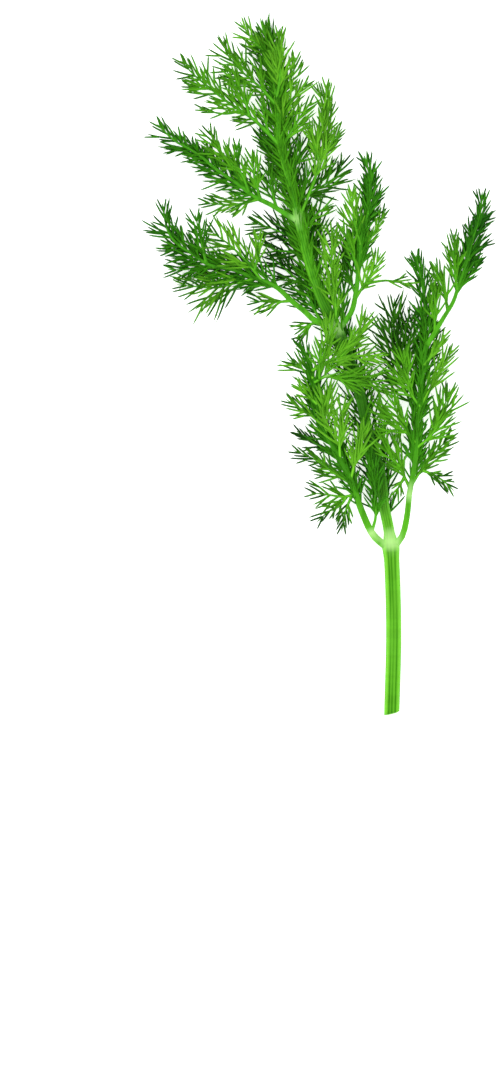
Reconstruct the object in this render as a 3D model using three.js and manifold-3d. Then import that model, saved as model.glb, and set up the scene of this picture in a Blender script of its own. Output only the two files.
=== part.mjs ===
// A cut sprig of dill lying on its side: one stem, and fronds that fork into leaflets of fine needles.
// Millimetres, +Z up. The plan is laid out from the first fork, +Y towards the tip of the sprig.

import * as THREE from 'three';
import { mergeVertices } from 'three/addons/utils/BufferGeometryUtils.js';
import Module from 'manifold-3d';

const wasm = await Module();
wasm.setup();

const size = {
  leafLength: 160, // from the first fork to the tip
  leafWidth: 100, // across the fronds
  stalkLength: 51, // from the cut end to the first fork
  stalkRadius: 2.3,
  jointRadius: 2.7, // the swollen joint at the first fork
  midribRadius: 1.6, // just above the first fork
  ribRadius: 1.2, // a frond's rib at its foot
  leafletRadius: 0.55, // a leaflet's axis at its foot
  needleRadius: 0.36, // a needle at its foot
  needleLength: 1, // times the reach that the plan gives
  needleSpacing: 3.8, // along a leaflet's axis
  stationSpacing: 6.5, // between the straight lengths of a rib or an axis
  gap: 0.3, // left free between a piece and what it grows from
};

// The midrib's radius, as a part of its radius just above the first fork, by its share of the way
// from there to the tip. It gets thinner at each place where fronds leave.
const midribSteps = [[0, 1], [0.58, 1.06], [0.63, 1], [0.68, 0.75], [0.85, 0.5], [1, 0.16]];

const colours = {
  stalk: '#65bb2a',
  rib: '#55a52a',
  bright: '#4f9a24',
  middle: '#3f8617',
  deep: '#2c660f',
};

// Each piece: its route as [across, along, height] from its foot to its tip. A piece grows "on"
// another one, or "joins" another one and is then part of the same solid. "reach" is the length
// of its needles, "spread" their angle to the axis in degrees, "bare" the share of the axis that
// has none, from its foot, and "girth" how thick it is beside others of its kind.
const stemRoute = [
  [0.3, -51, 2.4], [0.9, -25, 2.4], [0, 0, 2.9], [-2, 12, 3.2], [-3.2, 22, 3.6], [-6.9, 34, 4],
  [-9.6, 46.5, 4.4], [-14.7, 62, 4.8], [-20.7, 74, 5.4], [-25, 87, 5.8], [-27.6, 98, 5.6],
  [-30.3, 109, 5.2], [-33.2, 120, 4.6], [-33.8, 130, 4], [-34.9, 139.6, 3.4], [-36.3, 148, 2.8],
  [-39.4, 159.4, 1.6],
];

const pieces = [
  // The lower left frond lies over the midrib.
  { name: 'lower_left_rib', on: 'stem', tone: 'rib', bare: 0.86, reach: 6, spread: 20, route: [
    [-1, -1.6, 3], [-5.4, 3.4, 4.6], [-9, 11, 6], [-11.6, 18.5, 7.2], [-14.2, 24, 7.8], [-18.2, 31, 8],
    [-21.3, 36.8, 7.6], [-22.5, 45, 7], [-23.6, 51.6, 6.4], [-25.4, 57, 5.6], [-28, 61.5, 4.6]] },
  { joins: 'lower_left_rib', reach: 7, spread: 18, bare: 0.35, route: [
    [-5.6, 4, 4.8], [-4.6, 9, 6.2], [-4.8, 16, 7], [-5.8, 24, 7.4], [-7, 31, 7]] },
  { name: 'lower_left_leaflet_1', on: 'lower_left_rib', tone: 'middle', reach: 6, spread: 38, route: [
    [-10.6, 15.6, 6], [-14.2, 14.8, 5.2], [-19, 15.4, 4], [-24.1, 16, 2.5]] },
  { joins: 'lower_left_leaflet_1', reach: 5, spread: 38, route: [
    [-13.2, 14.9, 5.2], [-15.4, 12, 4], [-18.6, 10.4, 3], [-22.4, 7, 1.6]] },
  { joins: 'lower_left_leaflet_1', reach: 5, spread: 30, route: [
    [-11.4, 15.3, 5.8], [-13.4, 11, 4], [-14.8, 4.2, 1.4]] },
  { name: 'lower_left_leaflet_2', on: 'lower_left_rib', tone: 'middle', reach: 6, spread: 26, route: [
    [-11.9, 18.6, 7], [-17.3, 22, 5.8], [-21.8, 25.4, 4.5], [-29.2, 28.8, 2.5]] },
  { name: 'lower_left_leaflet_3', on: 'lower_left_rib', tone: 'deep', reach: 6, spread: 22, route: [
    [-17, 28.6, 8], [-21, 29.8, 4.6], [-24.4, 32, 3.4], [-28.4, 34.6, 2]] },
  { name: 'lower_left_leaflet_4', on: 'lower_left_rib', tone: 'bright', reach: 7, spread: 30, route: [
    [-21.4, 37.5, 7.5], [-26.1, 40.6, 6], [-31.6, 44.1, 4]] },
  { name: 'lower_left_leaflet_5', on: 'lower_left_rib', tone: 'bright', reach: 7, spread: 30, route: [
    [-22.3, 42.5, 7.2], [-25.2, 45.4, 8.5], [-28.4, 48.6, 9]] },
  { name: 'lower_left_leaflet_6', on: 'lower_left_rib', tone: 'bright', reach: 6, spread: 26, route: [
    [-23.4, 50, 6.6], [-27, 53.4, 6], [-31.4, 56.4, 4]] },
  { name: 'lower_left_leaflet_7', on: 'lower_left_rib', tone: 'bright', reach: 8, spread: 20, route: [
    [-12.2, 20, 7.4], [-10.6, 26.5, 9], [-9.2, 31.4, 9.5], [-8, 36, 9]] },
  { name: 'lower_left_leaflet_8', on: 'lower_left_rib', tone: 'bright', reach: 9, spread: 24, route: [
    [-15.2, 26, 8], [-15.6, 33, 10], [-15, 39, 11], [-12.8, 44, 10.5]] },
  { name: 'lower_left_leaflet_9', on: 'lower_left_rib', tone: 'bright', reach: 8, spread: 22, route: [
    [-19.5, 33.5, 8], [-19.8, 40, 10], [-19, 45.4, 10.5], [-18.4, 49, 10]] },
  { name: 'lower_left_leaflet_10', on: 'lower_left_rib', tone: 'middle', reach: 8, spread: 30, route: [
    [-23, 49, 6.8], [-18.6, 51, 9], [-12.4, 50, 9.5], [-6.8, 49.4, 8.5], [-0.5, 47.4, 7]] },
  { joins: 'lower_left_leaflet_10', reach: 6, spread: 26, route: [
    [-21.6, 50.2, 7.6], [-21.6, 52.4, 9.6], [-21.5, 55, 10.2], [-21.6, 60.6, 9.6]] },
  { name: 'lower_left_leaflet_11', on: 'lower_left_rib', tone: 'bright', reach: 8, spread: 28, route: [
    [-23.8, 52.6, 6.4], [-19.5, 55, 8.6], [-12.4, 57, 9], [-2.7, 56.4, 8]] },
  { joins: 'lower_left_leaflet_11', reach: 7, spread: 24, route: [
    [-20.6, 54.6, 8.4], [-19.4, 59.5, 9], [-18.4, 64, 8.6], [-19, 69, 8]] },
  { joins: 'lower_left_leaflet_11', reach: 7, spread: 24, route: [
    [-15.4, 56.4, 9], [-11.6, 60.6, 9], [-8.6, 65.4, 8.4], [-6.8, 70, 7.6]] },

  // The lower right frond lies over it too, and forks into two prongs.
  { name: 'lower_right_rib', girth: 0.85, on: 'stem', tone: 'rib', bare: 0.7, reach: 7, spread: 18, route: [
    [0.9, -1.6, 3], [3.5, 3.2, 4.4], [4.9, 9.7, 5.6], [5.5, 16, 6.4], [6.6, 21.6, 7], [7.4, 28.2, 7.6],
    [7.6, 35.7, 8], [8.5, 41, 8], [9, 47.2, 7.8], [9.7, 53.8, 7.4], [10.6, 61.6, 6.8],
    [10.1, 68, 6.2], [9.9, 74.8, 5.2], [8.8, 81.4, 4.2], [7.4, 88.2, 3]] },
  { name: 'lower_right_leaflet_1', on: 'lower_right_rib', tone: 'middle', reach: 7, spread: 25, route: [
    [5.8, 18, 6.6], [9.4, 23.4, 6], [12.3, 27, 5.4], [18.6, 33.7, 3.4]] },
  { joins: 'lower_right_leaflet_1', reach: 5, spread: 30, route: [
    [9, 22.9, 6], [12.7, 21.4, 4.2], [16, 19.4, 3], [19.3, 16.4, 1.8]] },
  { name: 'lower_right_leaflet_2', on: 'lower_right_rib', tone: 'middle', reach: 8, spread: 22, route: [
    [7.4, 29.5, 7.6], [11.8, 33, 8], [14.6, 38, 7.4], [17.8, 47.6, 5.4]] },
  { name: 'lower_right_leaflet_3', on: 'lower_right_rib', tone: 'bright', reach: 7, spread: 18, route: [
    [8.9, 41.5, 8], [11.7, 47.4, 7.6], [15, 53, 6.6], [18.6, 59, 5]] },
  { name: 'lower_right_leaflet_4', on: 'lower_right_rib', tone: 'bright', reach: 5, spread: 20, route: [
    [9.8, 54, 7.4], [13.2, 58.6, 7.6], [16, 63.4, 6.6]] },
  { name: 'lower_right_leaflet_5', on: 'lower_right_rib', tone: 'middle', reach: 8, spread: 22, route: [
    [5.6, 17, 6.4], [3.2, 22.6, 6], [1.6, 28, 6.4], [0.8, 34.5, 6.4]] },
  { joins: 'lower_right_leaflet_5', reach: 6, spread: 24, route: [
    [2.8, 23.6, 6.2], [0, 26.4, 7], [-2, 31.4, 7.4], [-2.8, 37, 7.2]] },
  { joins: 'lower_right_leaflet_5', reach: 4, spread: 34, route: [
    [4, 20.6, 6], [2.2, 17.4, 5.6], [1.3, 14.2, 4.6]] },
  { name: 'lower_right_leaflet_6', on: 'lower_right_rib', tone: 'middle', reach: 8, spread: 25, route: [
    [7.4, 30.5, 7.8], [4.4, 34.4, 8.8], [1.6, 40, 9.6], [-0.4, 45.5, 9.8]] },
  { joins: 'lower_right_leaflet_6', reach: 7, spread: 24, route: [
    [4.8, 34, 8.6], [0.6, 35.8, 8.4], [-3, 40, 8], [-4.6, 45.4, 7.4]] },
  { name: 'lower_right_leaflet_7', on: 'lower_right_rib', tone: 'middle', reach: 8, spread: 24, route: [
    [8.6, 41.5, 8], [5.6, 46, 9.2], [3.8, 52, 9.8], [3.4, 59, 9]] },
  { name: 'lower_right_leaflet_8', on: 'lower_right_rib', tone: 'deep', reach: 8, spread: 22, route: [
    [7.9, 38, 8], [4.6, 46, 4.8], [1.6, 55, 4.2], [0.2, 64, 3.8], [1.2, 75, 3]] },
  { joins: 'lower_right_leaflet_8', reach: 7, spread: 20, route: [
    [3.6, 49, 4.6], [4.8, 56, 4.4], [6, 63, 4], [6.4, 70.6, 3.4]] },
  { name: 'right_prong_rib', girth: 0.65, on: 'lower_right_rib', tone: 'rib', bare: 0.5, reach: 7,
    spread: 20, route: [
    [10.4, 60, 7], [13.2, 64.2, 7.6], [15.8, 68.6, 7.6], [18.5, 73, 7], [20.2, 77.9, 6.2],
    [23.3, 87.1, 5], [24.8, 93, 4], [26.8, 99.4, 3], [27.6, 107, 2]] },
  { joins: 'right_prong_rib', reach: 4, spread: 20, route: [
    [19.9, 77.2, 5.7], [23.6, 81.4, 4.8], [27.9, 87.8, 3.2]] },
  { joins: 'right_prong_rib', reach: 4, spread: 20, route: [
    [22.7, 85.5, 4.7], [25.5, 88.6, 3.8], [29.4, 91.1, 2.6]] },
  { name: 'right_prong_leaflet_1', on: 'right_prong_rib', tone: 'middle', reach: 6, spread: 18, route: [
    [13, 64, 6.8], [12.9, 71, 7.4], [12.5, 80.4, 6.5]] },
  { name: 'right_prong_leaflet_2', on: 'right_prong_rib', tone: 'middle', reach: 7, spread: 20, route: [
    [16.8, 70.6, 6.5], [15.4, 78, 6.8], [13, 85.2, 5.5]] },
  { name: 'right_prong_leaflet_3', on: 'right_prong_rib', tone: 'middle', reach: 7, spread: 18, route: [
    [19.4, 76.5, 5.7], [18.9, 84, 7], [18.8, 93.8, 6]] },

  // The middle left frond is the broadest.
  { name: 'middle_left_rib', girth: 0.8, on: 'stem', tone: 'rib', bare: 0.42, reach: 8, spread: 36, route: [
    [-17.4, 65, 5], [-22.6, 67.4, 6.4], [-26.1, 70.5, 6.4], [-30, 73.6, 6.2], [-33.6, 77.1, 5.8],
    [-37, 79, 5.4], [-41, 80.4, 5], [-47.6, 83, 4.8], [-54.7, 84.4, 4.4], [-60, 88, 4],
    [-64, 90.6, 3.4], [-67, 94.8, 2.8], [-68.8, 103.6, 1.6]] },
  { joins: 'middle_left_rib', reach: 7, spread: 30, route: [
    [-55.4, 84.8, 4.4], [-56.9, 91, 5], [-58.9, 100.2, 3.6]] },
  { joins: 'middle_left_rib', reach: 7, spread: 32, route: [
    [-52, 83.9, 4.5], [-58, 83.6, 3.6], [-63, 83, 2.8], [-67.4, 83.2, 2]] },
  { joins: 'middle_left_rib', reach: 7, spread: 26, route: [
    [-21, 66.8, 6], [-23.4, 71.6, 4.6], [-27, 75.6, 3.4], [-31.6, 78.6, 2.6]] },
  { name: 'middle_left_leaflet_1', on: 'middle_left_rib', tone: 'middle', reach: 5, spread: 34, route: [
    [-22.4, 67.3, 6.4], [-25.6, 65.8, 5.6], [-29.4, 64.8, 4.2]] },
  { joins: 'middle_left_leaflet_1', reach: 4, spread: 30, route: [
    [-24.4, 66.4, 5.8], [-26, 63.2, 4.8], [-28.6, 62, 3.8]] },
  { name: 'middle_left_leaflet_2', on: 'middle_left_rib', tone: 'bright', reach: 6, spread: 28, route: [
    [-30, 73.4, 6.2], [-34.4, 73.2, 5], [-42.6, 73.6, 3]] },
  { name: 'middle_left_leaflet_3', on: 'middle_left_rib', tone: 'bright', reach: 9, spread: 32, route: [
    [-40.5, 80.2, 5], [-47.2, 78.8, 4.2], [-52.5, 77.6, 3.6], [-59, 78, 3], [-64.6, 78.6, 2]] },
  { name: 'middle_left_leaflet_4', on: 'middle_left_rib', tone: 'bright', reach: 8, spread: 36, route: [
    [-38.8, 79.6, 5.2], [-41.8, 83.4, 6.2], [-45, 87, 6], [-48.8, 90.6, 5.4], [-55.6, 95.6, 3.6]] },
  { joins: 'middle_left_leaflet_4', reach: 7, spread: 24, route: [
    [-41, 82.5, 6], [-39.8, 88, 6.6], [-40, 94, 6]] },

  // Small leaflets behind the midrib, between the two left fronds.
  { name: 'back_leaflet_1', on: 'stem', tone: 'deep', reach: 8, spread: 30, route: [
    [-22, 77, 5], [-28.6, 80.6, 3.4], [-32.6, 84, 2.8], [-37.6, 88, 2.2]] },
  { name: 'back_leaflet_2', on: 'stem', tone: 'deep', reach: 7, spread: 30, route: [
    [-25, 86.8, 5], [-30.6, 88.4, 3.4], [-35, 89, 2.8], [-38.8, 91.8, 2.4]] },
  { name: 'back_leaflet_3', on: 'stem', tone: 'deep', reach: 7, spread: 30, route: [
    [-26, 91.4, 5], [-31.4, 93.6, 3.4], [-36.2, 95.6, 3], [-42, 97.4, 2.4]] },

  // The middle right frond and the leaflet in front of the midrib.
  { name: 'middle_right_rib', girth: 0.75, on: 'stem', tone: 'rib', bare: 0.55, reach: 7, spread: 17, route: [
    [-16.4, 64.6, 5], [-12, 70, 6.4], [-10.6, 75.7, 7], [-9.8, 82.7, 7.2], [-9.3, 88, 7],
    [-8.8, 94.1, 6.6], [-6.9, 99.6, 5.8], [-6.3, 105.6, 5], [-6.6, 112, 4], [-8.2, 118, 2.6]] },
  { joins: 'middle_right_rib', reach: 6, spread: 22, route: [
    [-14.6, 67.4, 5.6], [-14.6, 72, 5], [-15.2, 78, 4.6], [-16.4, 84, 4.4]] },
  { joins: 'middle_right_rib', reach: 4, spread: 20, route: [
    [-7.1, 99, 5.8], [-5.2, 102.4, 5.2], [-2, 108.2, 3.6]] },
  { name: 'middle_right_leaflet_1', on: 'middle_right_rib', tone: 'bright', reach: 7, spread: 24, route: [
    [-10.8, 74, 6.8], [-7.6, 79, 7], [-5, 83.4, 6.4], [-3, 88, 5.6]] },
  { joins: 'middle_right_leaflet_1', reach: 5, spread: 24, bare: 0.5, route: [
    [-7.8, 78.6, 7], [-1, 79.6, 5.4], [6.2, 78.4, 5.4]] },
  { name: 'middle_right_leaflet_2', on: 'middle_right_rib', tone: 'bright', reach: 4, spread: 18, route: [
    [-9.3, 87.6, 7], [-5.8, 92.8, 6.4], [-3.5, 97.2, 5.4], [-1.3, 101.4, 4]] },
  { name: 'middle_right_leaflet_3', on: 'middle_right_rib', tone: 'bright', reach: 7, spread: 20, route: [
    [-9.2, 90, 7], [-11, 97, 7.4], [-11.8, 106.5, 6.6]] },
  { name: 'middle_right_leaflet_4', on: 'middle_right_rib', tone: 'middle', reach: 7, spread: 22, route: [
    [-9.8, 82.4, 7.2], [-12.6, 90, 8], [-14.8, 96, 7.4]] },
  { name: 'middle_right_leaflet_5', on: 'middle_right_rib', tone: 'deep', reach: 8, spread: 22, route: [
    [-10.6, 75.6, 7], [-13.4, 83, 4.8], [-14, 92, 4]] },
  { name: 'front_leaflet', on: 'stem', tone: 'bright', reach: 7, spread: 22, route: [
    [-17.6, 66, 5], [-16.6, 71.5, 8.6], [-17.6, 79.2, 9.4], [-18, 88, 9], [-17.2, 96, 8]] },

  // The upper left frond.
  { name: 'upper_left_rib', girth: 0.7, on: 'stem', tone: 'rib', bare: 0.34, reach: 7, spread: 34, route: [
    [-27.6, 97, 5.6], [-32.7, 100.2, 6], [-36.2, 102.4, 5.8], [-41.4, 105, 5.4], [-45.9, 108.6, 5],
    [-52.1, 112.8, 4.4], [-57.3, 117.2, 3.8], [-61.7, 119.9, 3.2], [-65.7, 122.4, 2.6],
    [-70.3, 127, 1.8]] },
  { joins: 'upper_left_rib', reach: 5, spread: 20, bare: 0.3, route: [
    [-43.6, 106.8, 5], [-46, 112.6, 5.6], [-46.4, 121, 5]] },
  { name: 'upper_left_leaflet_1', on: 'upper_left_rib', tone: 'bright', reach: 7, spread: 26, route: [
    [-39.8, 104.2, 5.4], [-45.4, 102.6, 4.2], [-50.3, 102.6, 3.2], [-56, 103.3, 2.2]] },
  { name: 'upper_left_leaflet_2', on: 'upper_left_rib', tone: 'middle', reach: 7, spread: 28, route: [
    [-42.4, 105.8, 5.4], [-44.8, 111.4, 6.4], [-48.6, 115, 6], [-52, 119, 5.2], [-55.1, 126, 4]] },
  { name: 'upper_left_leaflet_3', on: 'upper_left_rib', tone: 'middle', reach: 7, spread: 22, route: [
    [-39.4, 103.8, 5.5], [-40.8, 110.6, 7], [-42.3, 117.6, 6]] },
  { name: 'upper_left_leaflet_4', on: 'upper_left_rib', tone: 'deep', reach: 8, spread: 24, route: [
    [-34.4, 101.4, 5.8], [-36, 107.6, 4.6], [-37.6, 114, 4]] },

  // The upper right frond and the leaflets beside it.
  { name: 'upper_right_rib', girth: 1.2, on: 'stem', tone: 'bright', bare: 0.42, reach: 8, spread: 20, route: [
    [-27.8, 98.6, 5.6], [-25, 104.4, 6.8], [-22.6, 110.6, 6.8], [-21.4, 115, 6.2], [-20.4, 121.2, 5.4],
    [-19.6, 127.4, 4.4], [-19.5, 139, 2.6]] },
  { joins: 'upper_right_rib', reach: 6, spread: 20, route: [
    [-21.4, 114.6, 6.2], [-23.2, 121, 6.6], [-25.2, 127, 5.4]] },
  { joins: 'upper_right_rib', reach: 6, spread: 20, route: [
    [-21.4, 114.6, 6.2], [-18.4, 120, 5], [-14.2, 126, 3.4]] },
  { name: 'upper_right_leaflet_1', on: 'stem', tone: 'deep', reach: 8, spread: 28, route: [
    [-29, 103, 5.2], [-23.9, 106, 4.2], [-19.5, 108.8, 4], [-16, 111.6, 3.4], [-13.8, 117, 2.6]] },
  { joins: 'upper_right_leaflet_1', reach: 7, spread: 22, route: [
    [-27, 104.4, 4.8], [-25.4, 109, 4.6], [-24.4, 114.4, 4.4]] },
  { name: 'upper_right_leaflet_2', on: 'stem', tone: 'middle', reach: 6, spread: 26, route: [
    [-27.2, 94, 5.6], [-23.6, 98, 5], [-20.6, 101, 4.6], [-17, 103, 4]] },
  { name: 'upper_right_leaflet_3', on: 'stem', tone: 'deep', reach: 8, spread: 26, route: [
    [-30.8, 110.6, 5.2], [-27.8, 117, 4.4], [-26.2, 123, 3.6]] },

  // The fronds at the top.
  { name: 'top_left_rib', girth: 1.3, on: 'stem', tone: 'middle', bare: 0.2, reach: 7.5, spread: 34, route: [
    [-33.6, 119.6, 4.6], [-38.8, 125.8, 5], [-42, 128.6, 4.8], [-46, 131.2, 4.6], [-50, 134, 4.2],
    [-53.2, 136.6, 3.8], [-58.8, 141.3, 3], [-63.4, 146.2, 2]] },
  { joins: 'top_left_rib', reach: 5, spread: 26, route: [
    [-37, 123.6, 4.8], [-38, 129, 4.4], [-39.4, 135, 4]] },
  { joins: 'top_left_rib', reach: 4, spread: 12, bare: 0.6, route: [
    [-45, 130.5, 4.6], [-50.6, 129.8, 4], [-58, 131.6, 3]] },
  { joins: 'top_left_rib', reach: 4, spread: 16, bare: 0.3, route: [
    [-54.4, 137.6, 3.6], [-57.6, 137.4, 3.4], [-61.4, 138.6, 2.6]] },
  { name: 'top_left_leaflet_1', on: 'top_left_rib', tone: 'middle', reach: 6, spread: 26, route: [
    [-42.4, 128.9, 4.8], [-44.2, 134.4, 6.6], [-47, 139, 6.2], [-49.6, 142.8, 5.4]] },
  { name: 'top_left_leaflet_2', on: 'stem', tone: 'middle', reach: 8, spread: 32, route: [
    [-34.8, 132, 4], [-38.8, 137.2, 4.8], [-42, 140, 4.6], [-45.3, 143, 4.2], [-49.2, 147.8, 3.6],
    [-50.4, 152.2, 3]] },
  { name: 'top_left_leaflet_3', on: 'stem', tone: 'bright', reach: 6, spread: 28, route: [
    [-37.6, 145, 2.8], [-41.2, 151.8, 3.6], [-45.5, 157.8, 2.4]] },
  { name: 'top_left_leaflet_4', on: 'stem', tone: 'deep', reach: 5, spread: 16, route: [
    [-31.6, 112, 5.2], [-36.2, 117.4, 3.4], [-40, 124.6, 2.4]] },
  { name: 'top_right_leaflet_1', on: 'stem', tone: 'middle', reach: 7, spread: 26, route: [
    [-33, 118.6, 4.6], [-29.8, 124.4, 5.6], [-26.6, 129.7, 5], [-23.5, 133.3, 4.2]] },
  { name: 'top_right_leaflet_2', on: 'stem', tone: 'bright', reach: 7, spread: 26, route: [
    [-33.8, 124, 4.2], [-30.8, 131.4, 4.8], [-28.2, 135.4, 4.2], [-24.6, 139.8, 3.2]] },
  { name: 'top_right_leaflet_3', on: 'stem', tone: 'middle', reach: 7, spread: 24, route: [
    [-34.6, 131, 4], [-31.2, 137.6, 4.4], [-29.4, 142, 4.2], [-28.6, 147, 3.6]] },
  { name: 'top_leaflet', on: 'stem', tone: 'bright', reach: 8, spread: 20, route: [
    [-34.8, 134, 3.8], [-33.2, 142.4, 6.2], [-33.8, 148, 5.8], [-33.6, 155, 4]] },
];

// The same numbers each time it is run.
class Chance {
  constructor(seed) {
    this.state = seed;
  }

  between(low, high) {
    this.state = (this.state * 16807) % 2147483647;
    return low + ((high - low) * this.state) / 2147483647;
  }
}

const up = new THREE.Vector3(0, 0, 1);
const degrees = THREE.MathUtils.degToRad;

function placed(points, lift = 0) {
  const across = size.leafWidth / 100;
  const along = size.leafLength / 160;
  const below = size.stalkLength / 51;
  return points.map(([x, y, z], i) => {
    const raised = z + lift * Math.min(1, i / 2);
    return new THREE.Vector3(x * across, y * (y < -3 ? below : along), raised);
  });
}

// A curve cut into straight stations, each with its radius.
function stations(points, spacing, radiusAt) {
  const curve = new THREE.CatmullRomCurve3(points, false, 'catmullrom', 0.5);
  const length = curve.getLength();
  const count = Math.max(3, Math.round(length / spacing));
  const line = [];
  for (let i = 0; i <= count; i += 1) {
    const centre = curve.getPointAt(i / count);
    const radius = radiusAt((i / count) * length, length);
    centre.z = Math.max(centre.z, radius + 0.05);
    line.push({ centre, radius });
  }
  return { curve, length, line };
}

function stemRadius(fromCut, length) {
  const s = fromCut - size.stalkLength;
  const swelling = Math.exp(-((s / 2.2) ** 2));
  if (s < 0) {
    return size.stalkRadius + (size.jointRadius - size.stalkRadius) * swelling;
  }
  const past = s / (length - size.stalkLength);
  const next = midribSteps.findIndex(([share]) => past <= share + 1e-9);
  const [[a, low], [b, high]] = [midribSteps[Math.max(next - 1, 0)], midribSteps[Math.max(next, 1)]];
  const shaft = size.midribRadius * THREE.MathUtils.lerp(low, high, (past - a) / (b - a));
  return shaft + (size.jointRadius - size.midribRadius) * swelling;
}

function taperedRadius(foot) {
  return (s, length) => foot * (1 - 0.75 * (s / length));
}

// A round rod through its stations, flat at its foot and pointed at its tip, as one closed solid.
function rod(line, sides) {
  const last = line.length - 1;
  const geometry = new THREE.ConeGeometry(1, 1, sides, last);
  geometry.deleteAttribute('normal');
  geometry.deleteAttribute('uv');
  const position = geometry.attributes.position;
  const vertex = new THREE.Vector3();
  for (let i = 0; i < position.count; i += 1) {
    vertex.fromBufferAttribute(position, i);
    const ring = Math.round((vertex.y + 0.5) * last);
    const { centre, radius } = line[ring];
    const before = line[Math.max(ring - 1, 0)].centre;
    const after = line[Math.min(ring + 1, last)].centre;
    const tangent = after.clone().sub(before).normalize();
    const side = tangent.clone().cross(up).normalize();
    const top = side.clone().cross(tangent);
    const turn = Math.hypot(vertex.x, vertex.z);
    const share = turn > 1e-6 ? radius / turn : 0;
    vertex.copy(centre).addScaledVector(side, share * position.getX(i));
    vertex.addScaledVector(top, share * position.getZ(i));
    position.setXYZ(i, vertex.x, vertex.y, vertex.z);
  }
  return solid(geometry);
}

function solid(geometry) {
  const welded = mergeVertices(geometry, 1e-5);
  return new wasm.Manifold(
    new wasm.Mesh({
      numProp: 3,
      vertProperties: new Float32Array(welded.attributes.position.array),
      triVerts: new Uint32Array(welded.index.array),
    }),
  );
}

// The shortest distance between two straight segments.
function apart(a, b, c, d) {
  const u = b.clone().sub(a);
  const v = d.clone().sub(c);
  const w = a.clone().sub(c);
  const uu = u.dot(u);
  const uv = u.dot(v);
  const vv = v.dot(v);
  const uw = u.dot(w);
  const vw = v.dot(w);
  const spread = uu * vv - uv * uv;
  let s = spread > 1e-9 ? THREE.MathUtils.clamp((uv * vw - vv * uw) / spread, 0, 1) : 0;
  const t = THREE.MathUtils.clamp((uv * s + vw) / vv, 0, 1);
  s = THREE.MathUtils.clamp((uv * t - uw) / uu, 0, 1);
  return a.clone().addScaledVector(u, s).distanceTo(c.clone().addScaledVector(v, t));
}

// Everything placed so far, as short straight lengths that remember their node.
const lengths = [];

function lengthsOf(node, line) {
  return line.slice(1).map((end, i) => ({
    node,
    from: line[i].centre,
    to: end.centre,
    radius: Math.max(line[i].radius, end.radius),
    middle: line[i].centre.clone().lerp(end.centre, 0.5),
    half: line[i].centre.distanceTo(end.centre) / 2,
  }));
}

// The least free space between this line and all the other nodes, up to one millimetre. Its first
// length isn't measured against what it grows on, because its foot has a place of its own there.
function clearance(node, line, grownOn) {
  let least = 1;
  for (const [i, own] of lengthsOf(node, line).entries()) {
    for (const other of lengths) {
      const near = own.half + other.half + own.radius + other.radius + 1;
      const skip = other.node === node || (i === 0 && other.node === grownOn);
      if (!skip && own.middle.distanceTo(other.middle) < near) {
        const free = apart(own.from, own.to, other.from, other.to) - own.radius - other.radius;
        least = Math.min(least, free);
      }
    }
  }
  return least;
}

const grown = new Map();

// The middle of a rod, its radius and its direction, at this share of its length.
function along(piece, share) {
  const place = share * (piece.line.length - 1);
  const below = Math.floor(Math.min(place, piece.line.length - 2));
  const low = piece.line[below];
  const high = piece.line[below + 1];
  return {
    centre: low.centre.clone().lerp(high.centre, place - below),
    radius: THREE.MathUtils.lerp(low.radius, high.radius, place - below),
    tangent: high.centre.clone().sub(low.centre).normalize(),
  };
}

function nearestShare(piece, point) {
  const shares = Array.from({ length: 201 }, (_, i) => i / 200);
  const distance = shares.map((share) => along(piece, share).centre.distanceTo(point));
  return shares[distance.indexOf(Math.min(...distance))];
}

// The first point moves onto the surface of what the piece grows on, or into its middle.
function rooted(points, parent, ownRadius, inside) {
  const { centre, radius, tangent } = along(parent, nearestShare(parent, points[0]));
  if (inside) {
    return [centre, ...points.slice(1)];
  }
  const away = points[1].clone().sub(centre);
  const direction = away.clone().normalize();
  away.addScaledVector(tangent, -away.dot(tangent)).normalize();
  const footEdge = ownRadius * Math.sqrt(1 - direction.dot(away) ** 2);
  const reach = radius + size.gap + footEdge;
  const foot = centre.clone().addScaledVector(away, reach);
  const kept = points.slice(1).filter((point) => point.distanceTo(foot) > 2.5);
  return [foot, ...kept];
}

function grow(spec, node) {
  const parent = grown.get(spec.on ?? spec.joins);
  const foot = (spec.girth ?? 1) * (spec.tone === 'rib' ? size.ribRadius : size.leafletRadius);
  let best = null;
  for (const lift of [0, 1, -1, 2, -2, 3, 4, 5, 6, 8]) {
    const points = rooted(placed(spec.route, lift), parent, foot, Boolean(spec.joins));
    const made = stations(points, size.stationSpacing, taperedRadius(foot));
    const free = clearance(node, made.line, spec.on);
    if (!best || free > best.free) {
      best = { ...made, free, lift };
    }
    if (free >= 0.8 * size.gap) {
      break;
    }
  }
  return { ...best, node, spec };
}

// One needle: a straight spike that leaves the axis at an angle, moved until it is clear.
function needle(piece, share, side, chance) {
  const { spec, node } = piece;
  const { centre: start, tangent } = along(piece, share);
  const across = tangent.clone().cross(up).normalize().multiplyScalar(side);
  const spread = degrees(spec.spread * chance.between(0.85, 1.25));
  const tilt = chance.between(-16, 34);
  const reach = spec.reach * size.needleLength * (1.1 - 0.45 * share) * chance.between(0.85, 1.15);
  for (const [turn, part] of [[0, 1], [16, 1], [-16, 1], [34, 0.9], [-34, 0.9], [50, 0.75], [0, 0.6]]) {
    const rise = degrees(tilt + turn);
    const flat = tangent.clone().multiplyScalar(Math.cos(spread));
    flat.addScaledVector(across, Math.sin(spread));
    const direction = flat.multiplyScalar(Math.cos(rise)).addScaledVector(up, Math.sin(rise));
    const end = start.clone().addScaledVector(direction, reach * part);
    end.z = Math.max(end.z, 0.25);
    const line = [
      { centre: start, radius: size.needleRadius },
      { centre: end, radius: 0.1 },
    ];
    if (clearance(node, line) >= 0.8 * size.gap) {
      return line;
    }
  }
  return null;
}

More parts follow.
